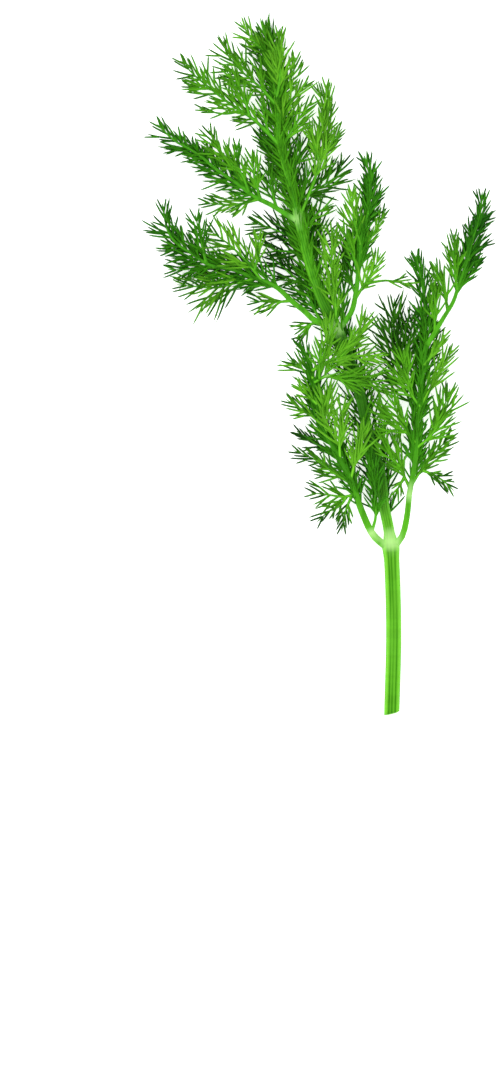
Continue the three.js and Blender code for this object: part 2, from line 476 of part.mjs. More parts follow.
function needles(piece, chance) {
  const bare = piece.spec.bare ?? 0.14;
  const count = Math.max(3, Math.round((piece.length * (1 - bare)) / size.needleSpacing));
  for (let i = 0; i < count; i += 1) {
    const share = bare + ((0.97 - bare) * (i + 0.5)) / count;
    const line = needle(piece, share, i % 2 ? 1 : -1, chance);
    if (line) {
      lengths.push(...lengthsOf(piece.node, line));
      piece.parts.push(rod(line, 3));
    }
  }
}

// The stem runs from the cut end through the fork to the tip.
const stem = stations(placed(stemRoute), 7.5, stemRadius);
grown.set('stem', { ...stem, node: 'stem', parts: [rod(stem.line, 10)] });
lengths.push(...lengthsOf('stem', stem.line));

// Every axis is laid before any needle, so that the needles keep clear of all of them.
const axes = [];
for (const spec of pieces) {
  const node = spec.name ?? spec.joins;
  const piece = grow(spec, node);
  const sides = spec.tone === 'rib' ? 6 : 3;
  piece.parts = [rod(piece.line, sides)];
  lengths.push(...lengthsOf(node, piece.line));
  if (spec.name) {
    grown.set(node, piece);
  }
  axes.push(piece);
}

const chance = new Chance(2026);
for (const piece of axes) {
  needles(piece, chance);
}

// A grown piece in one solid, as a named mesh.
function meshOf(name, parts, tone) {
  const whole = parts.reduce((all, part) => all.add(part));
  const { vertProperties, triVerts } = whole.getMesh();
  const geometry = new THREE.BufferGeometry();
  geometry.setAttribute('position', new THREE.BufferAttribute(new Float32Array(vertProperties), 3));
  geometry.setIndex(new THREE.BufferAttribute(new Uint32Array(triVerts), 1));
  geometry.computeVertexNormals();
  const material = new THREE.MeshStandardMaterial({
    color: colours[tone],
    roughness: 0.55,
    metalness: 0,
  });
  const mesh = new THREE.Mesh(geometry, material);
  mesh.name = name;
  return mesh;
}

const sprig = new THREE.Group();
sprig.add(meshOf('stem', grown.get('stem').parts, 'stalk'));
for (const spec of pieces.filter((piece) => piece.name)) {
  const own = axes.filter((piece) => piece.node === spec.name);
  const parts = own.flatMap((piece) => piece.parts);
  sprig.add(meshOf(spec.name, parts, spec.tone));
}

// It lies on z = 0 with the middle of its outline over the origin.
const bounds = new THREE.Box3().setFromObject(sprig);
const middle = bounds.getCenter(new THREE.Vector3());
sprig.position.set(-middle.x, -middle.y, -bounds.min.z);

const group = new THREE.Group();
group.add(sprig);

export default group;
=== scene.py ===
"""The looks of a cut dill sprig: a ribbed stalk that forks into fronds of fine, soft needles."""

import math

import bmesh
import bpy
from mathutils import Matrix, Vector


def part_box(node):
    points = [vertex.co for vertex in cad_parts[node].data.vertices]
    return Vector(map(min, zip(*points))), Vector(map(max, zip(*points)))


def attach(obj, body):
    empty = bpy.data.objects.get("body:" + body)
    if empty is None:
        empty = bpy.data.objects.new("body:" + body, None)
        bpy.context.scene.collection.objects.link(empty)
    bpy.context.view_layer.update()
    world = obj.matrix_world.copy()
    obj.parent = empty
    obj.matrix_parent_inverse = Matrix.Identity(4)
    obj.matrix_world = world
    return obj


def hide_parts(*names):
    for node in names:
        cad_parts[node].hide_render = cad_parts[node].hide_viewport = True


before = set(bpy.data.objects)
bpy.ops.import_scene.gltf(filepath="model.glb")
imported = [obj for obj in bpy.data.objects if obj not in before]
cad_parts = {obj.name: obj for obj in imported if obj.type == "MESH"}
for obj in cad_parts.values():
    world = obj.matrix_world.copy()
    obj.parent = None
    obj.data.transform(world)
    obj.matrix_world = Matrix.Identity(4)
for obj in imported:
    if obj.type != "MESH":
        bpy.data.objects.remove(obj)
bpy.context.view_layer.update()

MM = 0.001
UP = Vector((0, 0, 1))

# Sizes in millimetres.
STALK_LENGTH = 51
STALK_RADIUS = 2.3
JOINT_RADIUS = 2.7
MIDRIB_RADIUS = 1.6
RIB_RADIUS = 1.2
LEAFLET_RADIUS = 0.5
NEEDLE_RADIUS = 0.33
NEEDLE_FLATNESS = 0.72
SHORTEST_NEEDLE = 4.2
PAIR_SPACING = 2.5
TIP_SPACING = 2.3
TIP_ZONE = 6
PAST_TIP = 1

# Where the stalk is cut, and the way that the cut faces.
CUT_PLACE = (0.3, -50.5, 0)
CUT_FACING = (0.26, -1, 0.08)

# The stalk's channels, as turns in degrees from its upper face: three above, and more below.
STALK_CHANNELS = (-27, -2, 24, 70, -74, 112, -112, 148, -148, 179, -179)

# How much of the light a fresh skin throws back as a shine.
SATIN = 0.08

# What the random draws start from.
SEED = 7

# The camera, in metres: its height, and the length of floor that it sees.
CAMERA_HEIGHT = 1.2
VIEW_LENGTH = 0.3201
VIEW_CENTRE = (-42.3, 3.75)  # millimetres in the plan

# The midrib's radius by its share of the way from the first fork.
MIDRIB_STEPS = [(0, 1.6), (0.58, 1.7), (0.63, 1.6), (0.68, 1.2), (0.85, 0.8), (1, 0.25)]

# Routes as (across, along, height) from foot to tip, laid out from the first fork.
STEM_ROUTE = [
    (0.3, -51, 2.4), (0.9, -25, 2.4), (0, 0, 2.9), (-2, 12, 3.2), (-3.2, 22, 3.6), (-6.9, 34, 4),
    (-9.6, 46.5, 4.4), (-14.7, 62, 4.8), (-20.7, 74, 5.4), (-25, 87, 5.8), (-27.6, 98, 5.6),
    (-30.3, 109, 5.2), (-33.2, 120, 4.6), (-33.8, 130, 4), (-34.9, 139.6, 3.4), (-36.3, 148, 2.8),
    (-39.4, 159.4, 1.6),
]


def grows(name, on, tone, reach, spread, route, bare=0.14, girth=1.0):
    """A piece that grows on another one."""
    return dict(name=name, on=on, tone=tone, reach=reach, spread=spread, route=route, bare=bare,
                girth=girth)


def joins(name, reach, spread, route, bare=0.14):
    """A side branch that is part of the named piece."""
    return dict(name=name, on=None, reach=reach, spread=spread, route=route, bare=bare, girth=1.0)


# Each piece's tone is rib, or a tier of painted light and shade: bright for pieces lying high,
# middle, and deep for pieces lying low or at the back.
PLAN = [
    grows("lower_left_rib", "stem", "rib", 6, 20, [
        (-1, -1.6, 3), (-5.4, 3.4, 4.6), (-9, 11, 6), (-11.6, 18.5, 7.2), (-14.2, 24, 7.8),
        (-18.2, 31, 8), (-21.3, 36.8, 7.6), (-22.5, 45, 7), (-23.6, 51.6, 6.4), (-25.4, 57, 5.6),
        (-28, 61.5, 4.6)], bare=0.22),
    joins("lower_left_rib", 7, 18, [
        (-5.6, 4, 4.8), (-4.6, 9, 6.2), (-4.8, 16, 7), (-5.8, 24, 7.4), (-7, 31, 7)], bare=0.14),
    grows("lower_left_leaflet_1", "lower_left_rib", "middle", 6, 38, [
        (-10.6, 15.6, 6), (-14.2, 14.8, 5.2), (-19, 15.4, 4), (-24.1, 16, 2.5)]),
    joins("lower_left_leaflet_1", 5, 38, [
        (-13.2, 14.9, 5.2), (-15.4, 12, 4), (-18.6, 10.4, 3), (-22.4, 7, 1.6)]),
    joins("lower_left_leaflet_1", 5, 30, [
        (-11.4, 15.3, 5.8), (-13.4, 11, 4), (-14.8, 4.2, 1.4)]),
    grows("lower_left_leaflet_2", "lower_left_rib", "middle", 6, 26, [
        (-11.9, 18.6, 7), (-17.3, 22, 5.8), (-21.8, 25.4, 4.5), (-29.2, 28.8, 2.5)]),
    grows("lower_left_leaflet_3", "lower_left_rib", "deep", 6, 22, [
        (-17, 28.6, 8), (-21, 29.8, 4.6), (-24.4, 32, 3.4), (-28.4, 34.6, 2)]),
    grows("lower_left_leaflet_4", "lower_left_rib", "bright", 7, 30, [
        (-21.4, 37.5, 7.5), (-26.1, 40.6, 6), (-31.6, 44.1, 4)]),
    grows("lower_left_leaflet_5", "lower_left_rib", "bright", 7, 30, [
        (-22.3, 42.5, 7.2), (-25.2, 45.4, 8.5), (-28.4, 48.6, 9)]),
    grows("lower_left_leaflet_6", "lower_left_rib", "bright", 6, 26, [
        (-23.4, 50, 6.6), (-27, 53.4, 6), (-31.4, 56.4, 4)]),
    grows("lower_left_leaflet_7", "lower_left_rib", "bright", 8, 20, [
        (-12.2, 20, 7.4), (-10.6, 26.5, 9), (-9.2, 31.4, 9.5), (-8, 36, 9)]),
    grows("lower_left_leaflet_8", "lower_left_rib", "bright", 9, 24, [
        (-15.2, 26, 8), (-15.6, 33, 10), (-15, 39, 11), (-12.8, 44, 10.5)]),
    grows("lower_left_leaflet_9", "lower_left_rib", "bright", 8, 22, [
        (-19.5, 33.5, 8), (-19.8, 40, 10), (-19, 45.4, 10.5), (-18.4, 49, 10)]),
    grows("lower_left_leaflet_10", "lower_left_rib", "middle", 8, 30, [
        (-23, 49, 6.8), (-18.6, 51, 9), (-12.4, 50, 9.5), (-6.8, 49.4, 8.5), (-0.5, 47.4, 7)]),
    joins("lower_left_leaflet_10", 6, 26, [
        (-21.6, 50.2, 7.6), (-21.6, 52.4, 9.6), (-21.5, 55, 10.2), (-21.6, 60.6, 9.6)]),
    grows("lower_left_leaflet_11", "lower_left_rib", "bright", 8, 28, [
        (-23.8, 52.6, 6.4), (-19.5, 55, 8.6), (-12.4, 57, 9), (-2.7, 56.4, 8)]),
    joins("lower_left_leaflet_11", 7, 24, [
        (-20.6, 54.6, 8.4), (-19.4, 59.5, 9), (-18.4, 64, 8.6), (-19, 69, 8)]),
    joins("lower_left_leaflet_11", 7, 24, [
        (-15.4, 56.4, 9), (-11.6, 60.6, 9), (-8.6, 65.4, 8.4), (-6.8, 70, 7.6)]),

    grows("lower_right_rib", "stem", "rib", 7, 18, [
        (0.9, -1.6, 3), (3.5, 3.2, 4.4), (4.9, 9.7, 5.6), (5.5, 16, 6.4), (6.6, 21.6, 7),
        (7.4, 28.2, 7.6), (7.6, 35.7, 8), (8.5, 41, 8), (9, 47.2, 7.8), (9.7, 53.8, 7.4),
        (10.6, 61.6, 6.8), (10.1, 68, 6.2), (9.9, 74.8, 5.2), (8.8, 81.4, 4.2), (7.4, 88.2, 3)],
        bare=0.24, girth=0.85),
    grows("lower_right_leaflet_1", "lower_right_rib", "middle", 7, 25, [
        (5.8, 18, 6.6), (9.4, 23.4, 6), (12.3, 27, 5.4), (18.6, 33.7, 3.4)]),
    joins("lower_right_leaflet_1", 5, 30, [
        (9, 22.9, 6), (12.7, 21.4, 4.2), (16, 19.4, 3), (19.3, 16.4, 1.8)]),
    grows("lower_right_leaflet_2", "lower_right_rib", "middle", 8, 22, [
        (7.4, 29.5, 7.6), (11.8, 33, 8), (14.6, 38, 7.4), (17.8, 47.6, 5.4)]),
    grows("lower_right_leaflet_3", "lower_right_rib", "bright", 7, 18, [
        (8.9, 41.5, 8), (11.7, 47.4, 7.6), (15, 53, 6.6), (18.6, 59, 5)]),
    grows("lower_right_leaflet_4", "lower_right_rib", "bright", 5, 20, [
        (9.8, 54, 7.4), (13.2, 58.6, 7.6), (16, 63.4, 6.6)]),
    grows("lower_right_leaflet_5", "lower_right_rib", "middle", 8, 22, [
        (5.6, 17, 6.4), (3.2, 22.6, 6), (1.6, 28, 6.4), (0.8, 34.5, 6.4)]),
    joins("lower_right_leaflet_5", 6, 24, [
        (2.8, 23.6, 6.2), (0, 26.4, 7), (-2, 31.4, 7.4), (-2.8, 37, 7.2)]),
    joins("lower_right_leaflet_5", 4, 34, [
        (4, 20.6, 6), (2.2, 17.4, 5.6), (1.3, 14.2, 4.6)]),
    grows("lower_right_leaflet_6", "lower_right_rib", "middle", 8, 25, [
        (7.4, 30.5, 7.8), (4.4, 34.4, 8.8), (1.6, 40, 9.6), (-0.4, 45.5, 9.8)]),
    joins("lower_right_leaflet_6", 7, 24, [
        (4.8, 34, 8.6), (0.6, 35.8, 8.4), (-3, 40, 8), (-4.6, 45.4, 7.4)]),
    grows("lower_right_leaflet_7", "lower_right_rib", "middle", 8, 24, [
        (8.6, 41.5, 8), (5.6, 46, 9.2), (3.8, 52, 9.8), (3.4, 59, 9)]),
    grows("lower_right_leaflet_8", "lower_right_rib", "deep", 10, 30, [
        (7.9, 38, 8), (4.6, 46, 4.8), (1.6, 55, 4.2), (0.2, 64, 3.8), (1.2, 75, 3)]),
    joins("lower_right_leaflet_8", 9, 28, [
        (3.6, 49, 4.6), (4.8, 56, 4.4), (6, 63, 4), (6.4, 70.6, 3.4)]),
    grows("right_prong_rib", "lower_right_rib", "rib", 7, 20, [
        (10.4, 60, 7), (13.2, 64.2, 7.6), (15.8, 68.6, 7.6), (18.5, 73, 7), (20.2, 77.9, 6.2),
        (23.3, 87.1, 5), (24.8, 93, 4), (26.8, 99.4, 3), (27.6, 107, 2)], bare=0.34, girth=0.65),
    joins("right_prong_rib", 4, 20, [(19.9, 77.2, 5.7), (23.6, 81.4, 4.8), (27.9, 87.8, 3.2)]),
    joins("right_prong_rib", 4, 20, [(22.7, 85.5, 4.7), (25.5, 88.6, 3.8), (29.4, 91.1, 2.6)]),
    grows("right_prong_leaflet_1", "right_prong_rib", "middle", 6, 18, [
        (13, 64, 6.8), (12.9, 71, 7.4), (12.5, 80.4, 6.5)]),
    grows("right_prong_leaflet_2", "right_prong_rib", "middle", 7, 20, [
        (16.8, 70.6, 6.5), (15.4, 78, 6.8), (13, 85.2, 5.5)]),
    grows("right_prong_leaflet_3", "right_prong_rib", "middle", 7, 18, [
        (19.4, 76.5, 5.7), (18.9, 84, 7), (18.8, 93.8, 6)]),

    grows("middle_left_rib", "stem", "rib", 8, 36, [
        (-17.4, 65, 5), (-22.6, 67.4, 6.4), (-26.1, 70.5, 6.4), (-30, 73.6, 6.2),
        (-33.6, 77.1, 5.8), (-37, 79, 5.4), (-41, 80.4, 5), (-47.6, 83, 4.8), (-54.7, 84.4, 4.4),
        (-60, 88, 4), (-64, 90.6, 3.4), (-67, 94.8, 2.8), (-68.8, 103.6, 1.6)], bare=0.3,
        girth=0.8),
    joins("middle_left_rib", 7, 30, [(-55.4, 84.8, 4.4), (-56.9, 91, 5), (-58.9, 100.2, 3.6)]),
    joins("middle_left_rib", 7, 32, [
        (-52, 83.9, 4.5), (-58, 83.6, 3.6), (-63, 83, 2.8), (-67.4, 83.2, 2)]),
    joins("middle_left_rib", 7, 26, [
        (-21, 66.8, 6), (-23.4, 71.6, 4.6), (-27, 75.6, 3.4), (-31.6, 78.6, 2.6)]),
    grows("middle_left_leaflet_1", "middle_left_rib", "middle", 5, 34, [
        (-22.4, 67.3, 6.4), (-25.6, 65.8, 5.6), (-29.4, 64.8, 4.2)]),
    joins("middle_left_leaflet_1", 4, 30, [(-24.4, 66.4, 5.8), (-26, 63.2, 4.8), (-28.6, 62, 3.8)]),
    grows("middle_left_leaflet_2", "middle_left_rib", "bright", 6, 28, [
        (-30, 73.4, 6.2), (-34.4, 73.2, 5), (-42.6, 73.6, 3)]),
    grows("middle_left_leaflet_3", "middle_left_rib", "bright", 9, 32, [
        (-40.5, 80.2, 5), (-47.2, 78.8, 4.2), (-52.5, 77.6, 3.6), (-59, 78, 3), (-64.6, 78.6, 2)]),
    grows("middle_left_leaflet_4", "middle_left_rib", "bright", 8, 36, [
        (-38.8, 79.6, 5.2), (-41.8, 83.4, 6.2), (-45, 87, 6), (-48.8, 90.6, 5.4),
        (-55.6, 95.6, 3.6)]),
    joins("middle_left_leaflet_4", 7, 24, [(-41, 82.5, 6), (-39.8, 88, 6.6), (-40, 94, 6)]),

    grows("back_leaflet_1", "stem", "deep", 8, 30, [
        (-22, 77, 5), (-28.6, 80.6, 3.4), (-32.6, 84, 2.8), (-37.6, 88, 2.2)]),
    grows("back_leaflet_2", "stem", "deep", 7, 30, [
        (-25, 86.8, 5), (-30.6, 88.4, 3.4), (-35, 89, 2.8), (-38.8, 91.8, 2.4)]),
    joins("back_leaflet_2", 7, 22, [
        (-26, 87.2, 4.4), (-23, 90.6, 3.4), (-21.6, 95, 3.6), (-21.4, 99.6, 4)]),
    grows("back_leaflet_3", "stem", "deep", 7, 30, [
        (-26, 91.4, 5), (-31.4, 93.6, 3.4), (-36.2, 95.6, 3), (-42, 97.4, 2.4)]),

    grows("middle_right_rib", "stem", "rib", 7, 17, [
        (-16.4, 64.6, 5), (-12, 70, 6.4), (-10.6, 75.7, 7), (-9.8, 82.7, 7.2), (-9.3, 88, 7),
        (-8.8, 94.1, 6.6), (-6.9, 99.6, 5.8), (-6.3, 105.6, 5), (-6.6, 112, 4), (-8.2, 118, 2.6)],
        bare=0.3, girth=0.75),
    joins("middle_right_rib", 6, 22, [
        (-14.6, 67.4, 5.6), (-14.6, 72, 5), (-15.2, 78, 4.6), (-16.4, 84, 4.4)]),
    joins("middle_right_rib", 4, 20, [(-7.1, 99, 5.8), (-5.2, 102.4, 5.2), (-2, 108.2, 3.6)]),
    grows("middle_right_leaflet_1", "middle_right_rib", "bright", 7, 24, [
        (-10.8, 74, 6.8), (-7.6, 79, 7), (-5, 83.4, 6.4), (-3, 88, 5.6)]),
    joins("middle_right_leaflet_1", 5, 24, [
        (-7.8, 78.6, 7), (-1, 79.6, 5.4), (6.2, 78.4, 5.4)], bare=0.5),
    grows("middle_right_leaflet_2", "middle_right_rib", "bright", 4, 18, [
        (-9.3, 87.6, 7), (-5.8, 92.8, 6.4), (-3.5, 97.2, 5.4), (-1.3, 101.4, 4)]),
    grows("middle_right_leaflet_3", "middle_right_rib", "bright", 7, 20, [
        (-9.2, 90, 7), (-11, 97, 7.4), (-11.8, 106.5, 6.6)]),
    grows("middle_right_leaflet_4", "middle_right_rib", "middle", 7, 22, [
        (-9.8, 82.4, 7.2), (-12.6, 90, 8), (-14.8, 96, 7.4)]),
    grows("middle_right_leaflet_5", "middle_right_rib", "deep", 8, 22, [
        (-10.6, 75.6, 7), (-13.4, 83, 4.8), (-14, 92, 4)]),
    grows("front_leaflet", "stem", "bright", 7, 22, [
        (-17.6, 66, 5), (-16.6, 71.5, 8.6), (-17.6, 79.2, 9.4), (-18, 88, 9), (-17.2, 96, 8)]),

    grows("upper_left_rib", "stem", "rib", 7, 34, [
        (-27.6, 97, 5.6), (-32.7, 100.2, 6), (-36.2, 102.4, 5.8), (-41.4, 105, 5.4),
        (-45.9, 108.6, 5), (-52.1, 112.8, 4.4), (-57.3, 117.2, 3.8), (-61.7, 119.9, 3.2),
        (-65.7, 122.4, 2.6), (-70.3, 127, 1.8)], bare=0.25, girth=0.7),
    joins("upper_left_rib", 5, 20, [(-43.6, 106.8, 5), (-46, 112.6, 5.6), (-46.4, 121, 5)],
          bare=0.3),
    grows("upper_left_leaflet_1", "upper_left_rib", "bright", 7, 26, [
        (-39.8, 104.2, 5.4), (-45.4, 102.6, 4.2), (-50.3, 102.6, 3.2), (-56, 103.3, 2.2)]),
    grows("upper_left_leaflet_2", "upper_left_rib", "middle", 7, 28, [
        (-42.4, 105.8, 5.4), (-44.8, 111.4, 6.4), (-48.6, 115, 6), (-52, 119, 5.2),
        (-55.1, 126, 4)]),
    grows("upper_left_leaflet_3", "upper_left_rib", "middle", 7, 22, [
        (-39.4, 103.8, 5.5), (-40.8, 110.6, 7), (-42.3, 117.6, 6)]),
    grows("upper_left_leaflet_4", "upper_left_rib", "deep", 8, 24, [
        (-34.4, 101.4, 5.8), (-36, 107.6, 4.6), (-37.6, 114, 4)]),

    grows("upper_right_rib", "stem", "bright", 8, 20, [
        (-27.8, 98.6, 5.6), (-25, 104.4, 6.8), (-22.6, 110.6, 6.8), (-21.4, 115, 6.2),
        (-20.4, 121.2, 5.4), (-19.6, 127.4, 4.4), (-19.5, 139, 2.6)], bare=0.3),
    joins("upper_right_rib", 6, 20, [(-21.4, 114.6, 6.2), (-23.2, 121, 6.6), (-25.2, 127, 5.4)]),
    joins("upper_right_rib", 6, 20, [(-21.4, 114.6, 6.2), (-18.4, 120, 5), (-14.2, 126, 3.4)]),
    grows("upper_right_leaflet_1", "stem", "deep", 8, 28, [
        (-29, 103, 5.2), (-23.9, 106, 4.2), (-19.5, 108.8, 4), (-16, 111.6, 3.4),
        (-13.8, 117, 2.6)]),
    joins("upper_right_leaflet_1", 7, 22, [
        (-27, 104.4, 4.8), (-25.4, 109, 4.6), (-24.4, 114.4, 4.4)]),
    grows("upper_right_leaflet_2", "stem", "middle", 6, 26, [
        (-27.2, 94, 5.6), (-23.6, 98, 5), (-20.6, 101, 4.6), (-17, 103, 4)]),
    grows("upper_right_leaflet_3", "stem", "deep", 8, 26, [
        (-30.8, 110.6, 5.2), (-27.8, 117, 4.4), (-26.2, 123, 3.6)]),

    grows("top_left_rib", "stem", "middle", 7.5, 34, [
        (-33.6, 119.6, 4.6), (-38.8, 125.8, 5), (-42, 128.6, 4.8), (-46, 131.2, 4.6),
        (-50, 134, 4.2), (-53.2, 136.6, 3.8), (-58.8, 141.3, 3), (-63.4, 146.2, 2)], bare=0.2,
        girth=1.3),
    joins("top_left_rib", 5, 26, [(-37, 123.6, 4.8), (-38, 129, 4.4), (-39.4, 135, 4)]),
    joins("top_left_rib", 4, 12, [(-45, 130.5, 4.6), (-50.6, 129.8, 4), (-58, 131.6, 3)], bare=0.6),
    joins("top_left_rib", 4, 16, [(-54.4, 137.6, 3.6), (-57.6, 137.4, 3.4), (-61.4, 138.6, 2.6)],
          bare=0.3),
    grows("top_left_leaflet_1", "top_left_rib", "middle", 6, 26, [
        (-42.4, 128.9, 4.8), (-44.2, 134.4, 6.6), (-47, 139, 6.2), (-49.6, 142.8, 5.4)]),
    grows("top_left_leaflet_2", "stem", "middle", 8, 32, [
        (-34.8, 132, 4), (-38.8, 137.2, 4.8), (-42, 140, 4.6), (-45.3, 143, 4.2),
        (-49.2, 147.8, 3.6), (-50.4, 152.2, 3)]),
    grows("top_left_leaflet_3", "stem", "bright", 6, 28, [
        (-37.6, 145, 2.8), (-41.2, 151.8, 3.6), (-45.5, 157.8, 2.4)]),
    grows("top_left_leaflet_4", "stem", "deep", 5, 16, [
        (-31.6, 112, 5.2), (-36.2, 117.4, 3.4), (-40, 124.6, 2.4)]),
    grows("top_right_leaflet_1", "stem", "middle", 7, 26, [
        (-33, 118.6, 4.6), (-29.8, 124.4, 5.6), (-26.6, 129.7, 5), (-23.5, 133.3, 4.2)]),
    grows("top_right_leaflet_2", "stem", "bright", 7, 26, [
        (-33.8, 124, 4.2), (-30.8, 131.4, 4.8), (-28.2, 135.4, 4.2), (-24.6, 139.8, 3.2)]),
    grows("top_right_leaflet_3", "stem", "middle", 7, 24, [
        (-34.6, 131, 4), (-31.2, 137.6, 4.4), (-29.4, 142, 4.2), (-28.6, 147, 3.6)]),
    grows("top_leaflet", "stem", "bright", 8, 20, [
        (-34.8, 134, 3.8), (-33.2, 142.4, 6.2), (-33.8, 148, 5.8), (-33.6, 155, 4)]),
]


class Chance:
    """The same numbers each time it is run."""

    def __init__(self, seed):
        self.state = seed

    def between(self, low, high):
        self.state = self.state * 16807 % 2147483647
        return low + (high - low) * self.state / 2147483647


class Path:
    """A smooth curve through points, read by its share of the length."""

    STEPS = 10

    def __init__(self, points):
        p = [Vector(x) for x in points]
        p = [2 * p[0] - p[1], *p, 2 * p[-1] - p[-2]]
        self.line = [p[1].copy()]
        for a, b, c, d in zip(p, p[1:], p[2:], p[3:]):
            for i in range(1, self.STEPS + 1):
                t = i / self.STEPS
                bend = (2 * a - 5 * b + 4 * c - d) * t**2 + (3 * b - a - 3 * c + d) * t**3
                self.line.append((2 * b + (c - a) * t + bend) / 2)
        self.reached = [0.0]
        for a, b in zip(self.line, self.line[1:]):
            self.reached.append(self.reached[-1] + (b - a).length)
        self.length = self.reached[-1]

    def _span(self, share):
        want = min(max(share, 0), 1) * self.length
        i = next((k for k, r in enumerate(self.reached[1:]) if r >= want), len(self.line) - 2)
        return i, (want - self.reached[i]) / max(self.reached[i + 1] - self.reached[i], 1e-9)

    def at(self, share):
        i, part = self._span(share)
        return self.line[i].lerp(self.line[i + 1], part)

    def heading(self, share):
        return (self.at(share + 0.02) - self.at(share - 0.02)).normalized()

    def nearest(self, point):
        return min((i / 200 for i in range(201)), key=lambda s: (self.at(s) - point).length)


class Needle:
    """A short bend from a foot to a tip."""

    def __init__(self, foot, bend, tip):
        self.foot, self.bend, self.tip = foot, bend, tip
        self.length = (tip - foot).length

    def at(self, share):
        back = 1 - share
        return self.foot * back**2 + self.bend * (2 * back * share) + self.tip * share**2

    def heading(self, share):
        way = (self.bend - self.foot) * (1 - share) + (self.tip - self.bend) * share
        return way.normalized()


def square_to(heading):
    """Two directions across a rod: to its side, and to its upper face."""
    side = heading.cross(UP)
    side = side.normalized() if side.length > 1e-4 else Vector((1, 0, 0))
    return side, side.cross(heading)


def stem_radius(path, share):
    """The stalk, a swollen joint, and the midrib, which gets thinner at each knot."""
    s = share * path.length - STALK_LENGTH
    swelling = math.exp(-((s / 2.2) ** 2))
    if s < 0:
        return STALK_RADIUS + (JOINT_RADIUS - STALK_RADIUS) * swelling
    past = s / (path.length - STALK_LENGTH)
    steps = zip(MIDRIB_STEPS, MIDRIB_STEPS[1:])
    (a, r), (b, t) = next(x for x in steps if past <= x[1][0] or x[1][0] == 1)
    return r + (t - r) * min(1, (past - a) / (b - a)) + (JOINT_RADIUS - MIDRIB_RADIUS) * swelling


def taper(foot, length):
    """A rod's radius by its share of the way: it flares a little at the foot, and thins."""
    return lambda share: foot * (1 - 0.72 * share + 0.25 * math.exp(-share * length / 1.2))


# What each point of a piece is marked with, for its colours.
# The shade mark is a random tone of each rod and needle; on needles it also holds painted light and
# shade by height.
MARKS = ("along", "shade", "leafy", "pale", "groove")

# Pale knots where fronds leave, as (across, along, size, strength).
PALE_KNOTS = [
    (0, 1.7, 3, 1), (-5.4, 3.6, 1.6, 0.9), (5.5, 16.2, 1.7, 0.9), (-16.6, 65, 2.4, 0.8),
    (-28.2, 98, 2, 0.6), (-21.5, 114.8, 1.2, 0.4), (-19, 51.5, 1.4, 0.5),
]


def knot_paleness(spot):
    """How pale the skin is at a place, from the knots near it."""
    return max(strength * math.exp(-((((spot.x - x) ** 2 + (spot.y - y) ** 2) / size**2) ** 2))
               for x, y, size, strength in PALE_KNOTS)


def unroll(bm):
    """A map of a straight rod: its wall above, and its foot in the strip below."""
    chart = bm.loops.layers.uv.new("OFBake")
    for face in bm.faces:
        middle = face.calc_center_median()
        turned = math.atan2(middle.y, middle.x)
        for loop in face.loops:
            x, y, z = loop.vert.co
            if len(face.verts) > 4:
                loop[chart].uv = (0.5 + 0.45 * x, 0.04 + 0.035 * y)
                continue
            swing = math.atan2(y, x) - turned if math.hypot(x, y) > 0.01 else 0
            swing = (swing + math.pi) % math.tau - math.pi
            loop[chart].uv = (0.5 + (turned + swing) / math.tau, 0.1 + 0.9 * z)


def blank_rod(name, sides, spans):
    """A straight rod one unit long and one in radius, flat at its foot and pointed at its tip."""
    bm = bmesh.new()
    bmesh.ops.create_circle(bm, cap_ends=True, segments=sides, radius=1)
    bmesh.ops.rotate(bm, cent=(0, 0, 0), matrix=Matrix.Rotation(math.pi / sides, 3, "Z"),
                     verts=bm.verts)
    end = bm.faces[:]
    for _ in range(spans):
        grown = bmesh.ops.extrude_face_region(bm, geom=end)["geom"]
        end = [x for x in grown if isinstance(x, bmesh.types.BMFace)]
        bmesh.ops.translate(bm, vec=(0, 0, 1 / spans), verts=end[0].verts)
    bmesh.ops.pointmerge(bm, verts=end[0].verts, merge_co=(0, 0, 1))
    bmesh.ops.recalc_face_normals(bm, faces=bm.faces)
    unroll(bm)
    mesh = bpy.data.meshes.new(name)
    bm.to_mesh(mesh)
    bm.free()
    return mesh


